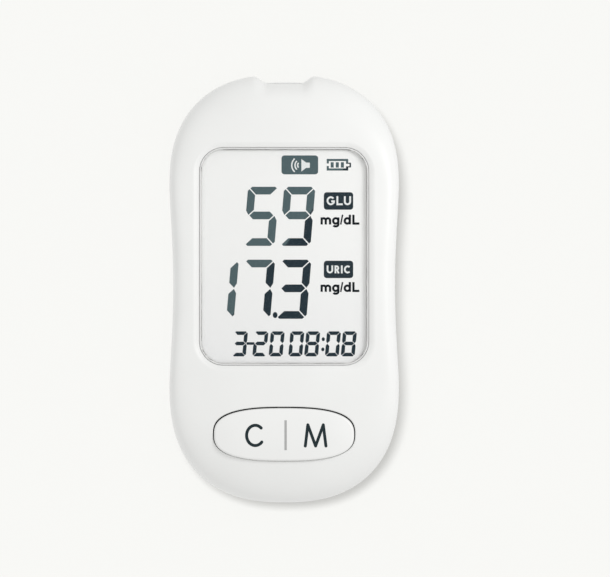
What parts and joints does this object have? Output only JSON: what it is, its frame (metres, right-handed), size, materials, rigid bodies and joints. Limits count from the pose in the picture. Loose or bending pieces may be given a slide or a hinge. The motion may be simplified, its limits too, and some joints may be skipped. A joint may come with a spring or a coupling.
{
  "type": "blood glucose meter",
  "caption": "Hand-held blood glucose meter with a waisted oval case, large display window, rocker key, strip port in the top end and a sliding battery door in the back.",
  "frame": {"origin": "middle of the case's footprint, on the table that the meter lies on", "axes": "+X to the right of someone who reads the display, +Y along the case to the strip port, +Z out of the display"},
  "size_m": [0.0506, 0.094, 0.0205],
  "materials": {
    "shell": "fine moulded satin, off-white",
    "key": "smooth satin, off-white",
    "lens": "clear polished acrylic",
    "adhesive": "pale foam tape",
    "foam": "dark closed-cell foam",
    "display_glass": "pale display with dark segments",
    "light_guide": "milky acrylic",
    "led": "cast resin",
    "inner_plastic": "moulded, untextured",
    "contact_rubber": "striped conductive rubber",
    "keypad_rubber": "matt silicone",
    "board": "green solder mask",
    "chip": "black moulding compound",
    "small_parts": "ceramic and tinned ends",
    "connector_plastic": "black glass-filled plastic",
    "gold_contact": "gold-plated spring metal",
    "cell_jacket": "plain shrink jacket, no print",
    "spring_steel": "nickel-plated",
    "speaker_metal": "grey pressed steel",
    "speaker_film": "pressed dark film",
    "felt": "dark felt",
    "lead_jacket": "smooth lead insulation",
    "screw_steel": "zinc-plated"
  },
  "bodies": {
    "case": {"front_cover": "shell", "rear_cover": "shell", "display_lens": "lens", "lens_adhesive": "adhesive", "display_foam": "foam", "lcd_glass": "display_glass", "light_guide": "light_guide", "backlight_leds": "led", "lcd_holder": "inner_plastic", "contact_strips": "contact_rubber", "keypad": "keypad_rubber", "circuit_board": "board", "board_chips": "chip", "board_parts": "small_parts", "strip_connector": "connector_plastic", "strip_contacts": "gold_contact", "battery_left": "cell_jacket", "battery_right": "cell_jacket", "bridge_plate": "spring_steel", "bridge_coil": "spring_steel", "positive_plate": "spring_steel", "negative_plate": "spring_steel", "negative_coil": "spring_steel", "speaker_basket": "speaker_metal", "speaker_cone": "speaker_film", "speaker_magnet": "speaker_metal", "speaker_felt": "felt", "speaker_leads": "lead_jacket", "case_screws": "screw_steel", "board_screws": "screw_steel"},
    "key": {"rocker_key": "key"},
    "door": {"battery_door": "shell"}
  },
  "joints": [
    {"name": "key_rock", "type": "hinge", "parent": "case", "child": "key", "pos_m": [0, -0.0319, 0.0158], "axis": [0, 1, 0], "range_deg": [-3, 3], "stiffness_Nm_per_rad": 0.3, "deforming": ["keypad"]},
    {"name": "door_slide", "type": "slide", "parent": "case", "child": "door", "axis": [0, -1, 0], "range_m": [0, 0.055]}
  ]
}
